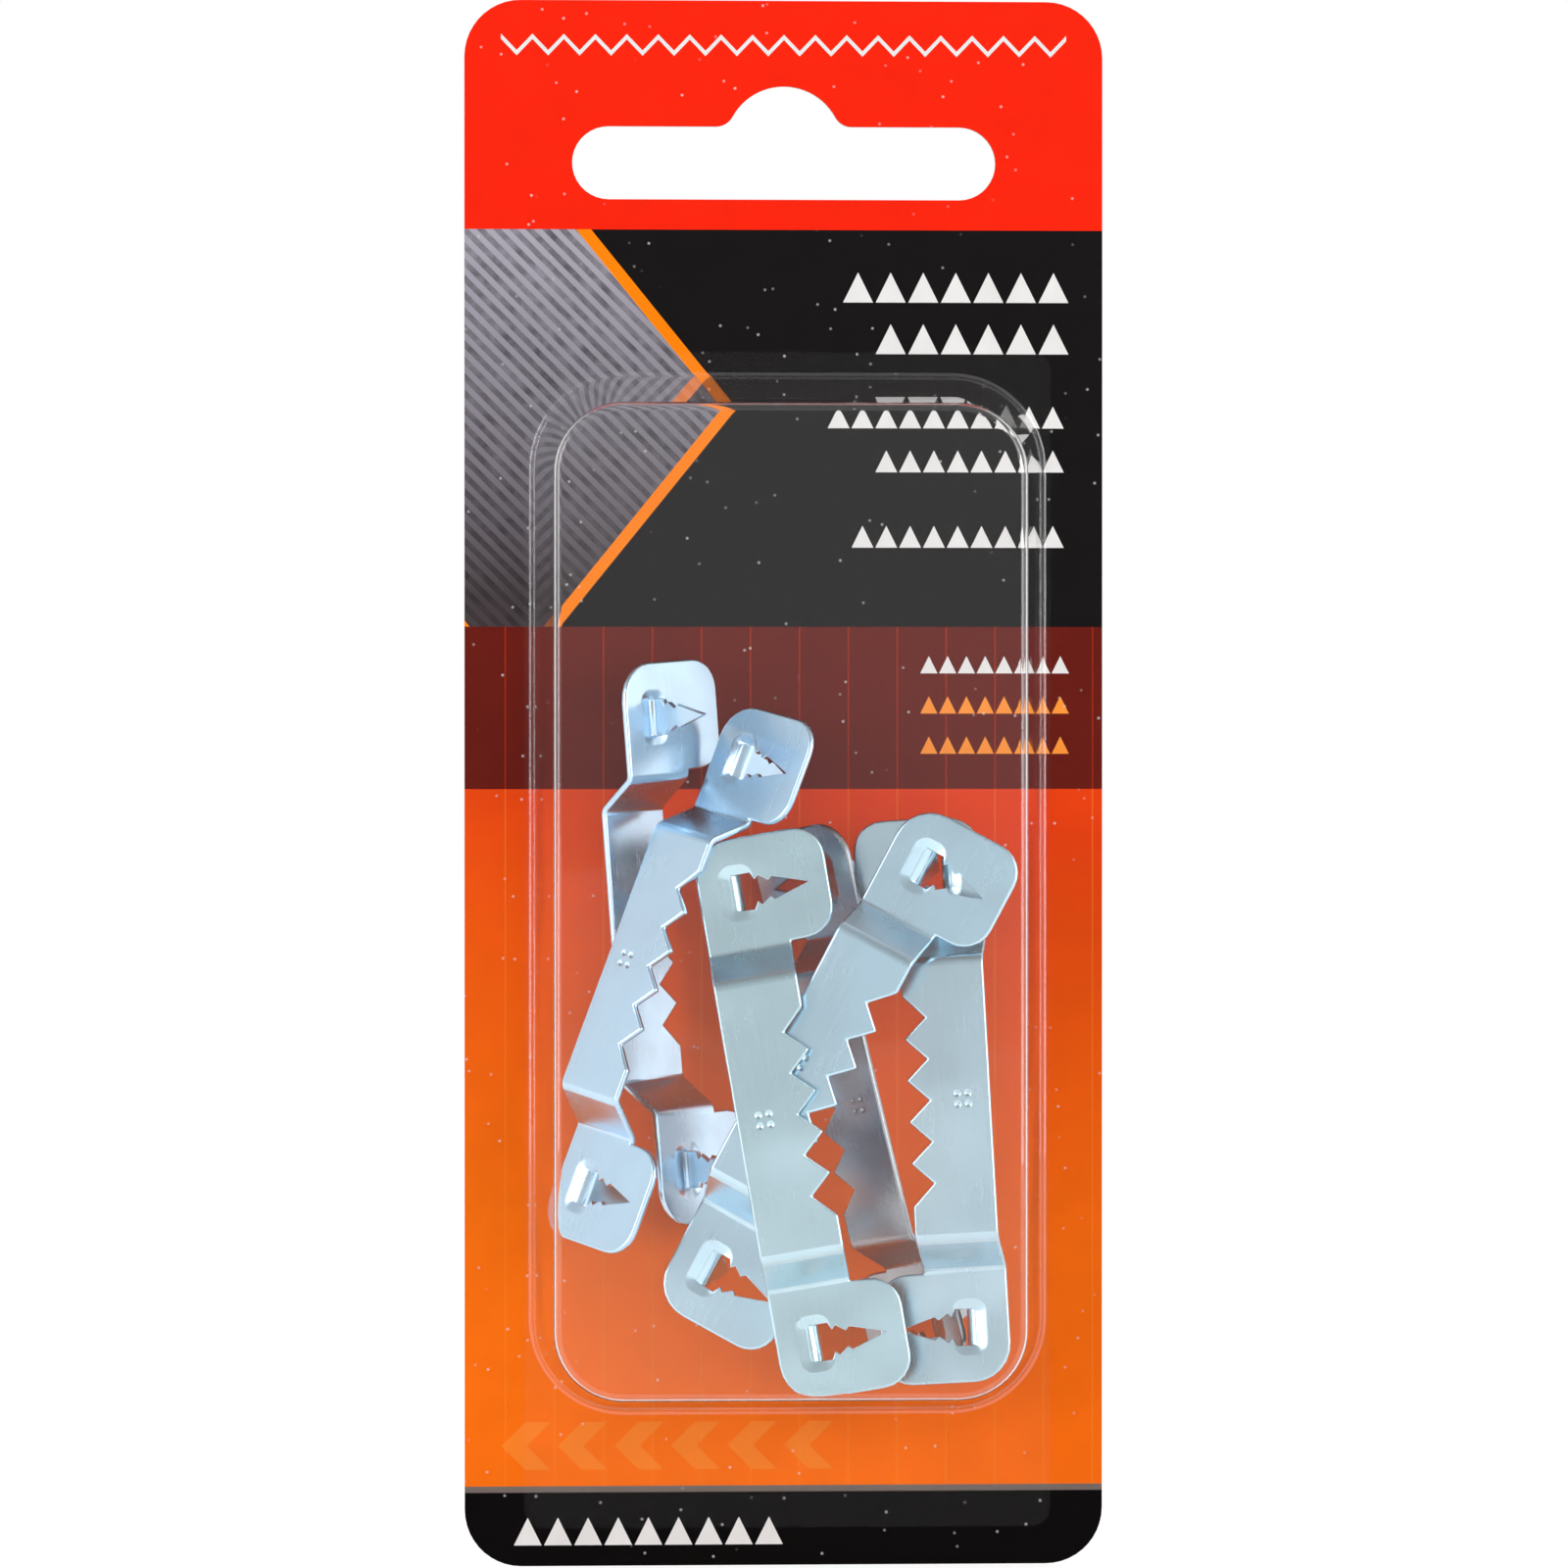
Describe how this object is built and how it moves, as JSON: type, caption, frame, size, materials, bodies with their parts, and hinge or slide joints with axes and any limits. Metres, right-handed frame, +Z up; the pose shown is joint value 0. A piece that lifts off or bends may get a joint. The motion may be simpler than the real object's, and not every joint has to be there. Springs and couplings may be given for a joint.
{
  "type": "carded pack of sawtooth picture hangers",
  "caption": "Hang-tag pack: a printed card with a peg slot and a clear blister tray, in which loose push-in sawtooth picture hangers lie and slide.",
  "frame": {"origin": "centre of the round hump of the peg slot, on the back face of the card", "axes": "+X to the right as the printed front is seen, +Z up towards the slot, and the printed front faces -Y"},
  "size_m": [0.0508, 0.0152, 0.1244],
  "materials": {
    "printed_card": "coated board with a gloss print",
    "clear_sheet": "clear formed sheet",
    "zinc_steel": "bright zinc plating"
  },
  "bodies": {
    "pack": {"backing_card": "printed_card", "blister": "clear_sheet"},
    "first_hanger": {"hanger_1": "zinc_steel"},
    "second_hanger": {"hanger_2": "zinc_steel"},
    "third_hanger": {"hanger_3": "zinc_steel"},
    "fourth_hanger": {"hanger_4": "zinc_steel"},
    "fifth_hanger": {"hanger_5": "zinc_steel"},
    "sixth_hanger": {"hanger_6": "zinc_steel"}
  },
  "joints": [
    {"name": "first_slide", "type": "slide", "parent": "pack", "child": "first_hanger", "axis": [0, 0, 1], "range_m": [0, 0.02]},
    {"name": "second_slide", "type": "slide", "parent": "pack", "child": "second_hanger", "axis": [0, 0, 1], "range_m": [0, 0.02]},
    {"name": "third_slide", "type": "slide", "parent": "pack", "child": "third_hanger", "axis": [0, 0, 1], "range_m": [0, 0.02]},
    {"name": "fourth_slide", "type": "slide", "parent": "pack", "child": "fourth_hanger", "axis": [0, 0, 1], "range_m": [0, 0.02]},
    {"name": "fifth_slide", "type": "slide", "parent": "pack", "child": "fifth_hanger", "axis": [0, 0, 1], "range_m": [0, 0.02]},
    {"name": "sixth_slide", "type": "slide", "parent": "pack", "child": "sixth_hanger", "axis": [0, 0, 1], "range_m": [0, 0.02]}
  ],
  "couplings": [
    {"joint": "second_slide", "follows": "first_slide", "ratio": 1},
    {"joint": "third_slide", "follows": "first_slide", "ratio": 1},
    {"joint": "fourth_slide", "follows": "first_slide", "ratio": 1},
    {"joint": "fifth_slide", "follows": "first_slide", "ratio": 1},
    {"joint": "sixth_slide", "follows": "first_slide", "ratio": 1}
  ]
}
